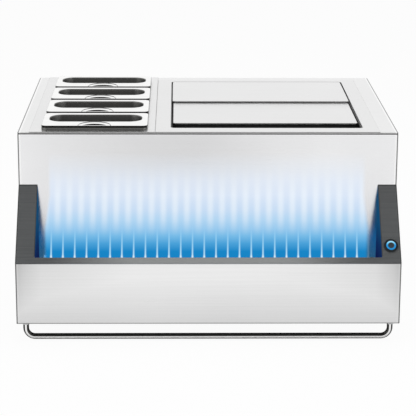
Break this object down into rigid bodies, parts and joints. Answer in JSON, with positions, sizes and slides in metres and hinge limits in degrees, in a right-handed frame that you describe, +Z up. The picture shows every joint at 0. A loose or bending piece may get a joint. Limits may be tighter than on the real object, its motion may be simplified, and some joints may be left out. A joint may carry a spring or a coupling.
{
  "type": "beverage center",
  "caption": "Stainless drop-in beverage center with a lidded ice bin, condiment pans, a lit bottle rail with a push button, and a towel bar.",
  "frame": {"origin": "middle of the footprint, at the level of the floor under the feet", "axes": "+Z up, +X to the right of a person in front, front faces -Y"},
  "size_m": [0.762, 0.6906, 0.414],
  "materials": {
    "brushed_stainless": "fine horizontal brush",
    "polished_stainless": "bright drawn",
    "charcoal_trim": "satin",
    "black_plastic": "satin",
    "foam": "closed-cell foam",
    "rubber": "matte",
    "fasteners": "plain",
    "aluminium": "anodised",
    "board": "white solder mask",
    "led_light": "lit",
    "clear_plastic": "clear",
    "switch_metal": "satin",
    "ring_light": "lit",
    "cable": "satin",
    "foot_plastic": "satin"
  },
  "bodies": {
    "cabinet": {"top_deck": "brushed_stainless", "deck_gasket": "rubber", "front_panel": "brushed_stainless", "left_side_panel": "brushed_stainless", "right_side_panel": "brushed_stainless", "rear_panel": "brushed_stainless", "base_pan": "brushed_stainless", "rear_access_cover": "brushed_stainless", "access_cover_screws": "fasteners", "ice_bin_flange": "brushed_stainless", "ice_bin_walls": "brushed_stainless", "ice_bin_floor": "brushed_stainless", "ice_bin_insulation": "foam", "lid_runner_left": "black_plastic", "lid_runner_right": "black_plastic", "condiment_frame": "brushed_stainless", "condiment_well": "brushed_stainless", "drain_body": "polished_stainless", "drain_strainer": "polished_stainless", "drain_gasket": "rubber", "drain_nut": "black_plastic", "rail_front_panel": "brushed_stainless", "rail_floor": "brushed_stainless", "rail_left_cheek": "brushed_stainless", "rail_right_cheek": "brushed_stainless", "rail_left_inner_wall": "charcoal_trim", "rail_right_inner_wall": "charcoal_trim", "rail_trim": "charcoal_trim", "rail_bolts": "fasteners", "rail_nuts": "fasteners", "led_channel": "aluminium", "led_board": "board", "led_chips": "led_light", "led_lens": "clear_plastic", "switch_bezel": "switch_metal", "switch_ring": "ring_light", "switch_nut": "fasteners", "led_driver": "black_plastic", "driver_screws": "fasteners", "power_inlet": "black_plastic", "inlet_nut": "fasteners", "led_cable": "cable", "switch_cable": "cable", "inlet_cable": "cable", "cable_grommets": "rubber", "towel_bar": "polished_stainless", "towel_bar_nuts": "fasteners", "levelling_feet": "foot_plastic", "foot_nuts": "fasteners"},
    "front_lid": {"front_lid": "brushed_stainless", "front_lid_grip": "black_plastic", "front_lid_glides": "black_plastic"},
    "rear_lid": {"rear_lid": "brushed_stainless", "rear_lid_glides": "black_plastic"},
    "button": {"light_button": "switch_metal"},
    "pan_1": {"condiment_pan_1": "polished_stainless"},
    "pan_2": {"condiment_pan_2": "polished_stainless"},
    "pan_3": {"condiment_pan_3": "polished_stainless"},
    "pan_4": {"condiment_pan_4": "polished_stainless"}
  },
  "joints": [
    {"name": "front_lid_slide", "type": "slide", "parent": "cabinet", "child": "front_lid", "axis": [0, 1, 0], "range_m": [0, 0.175]},
    {"name": "rear_lid_slide", "type": "slide", "parent": "cabinet", "child": "rear_lid", "axis": [0, -1, 0], "range_m": [0, 0.195]},
    {"name": "light_button_press", "type": "slide", "parent": "cabinet", "child": "button", "axis": [0, 0.7461, -0.6658], "range_m": [0, 0.0025], "stiffness_N_per_m": 900},
    {"name": "pan_1_lift", "type": "slide", "parent": "cabinet", "child": "pan_1", "axis": [0, 0, 1], "range_m": [0, 0.12]},
    {"name": "pan_2_lift", "type": "slide", "parent": "cabinet", "child": "pan_2", "axis": [0, 0, 1], "range_m": [0, 0.12]},
    {"name": "pan_3_lift", "type": "slide", "parent": "cabinet", "child": "pan_3", "axis": [0, 0, 1], "range_m": [0, 0.12]},
    {"name": "pan_4_lift", "type": "slide", "parent": "cabinet", "child": "pan_4", "axis": [0, 0, 1], "range_m": [0, 0.12]}
  ]
}
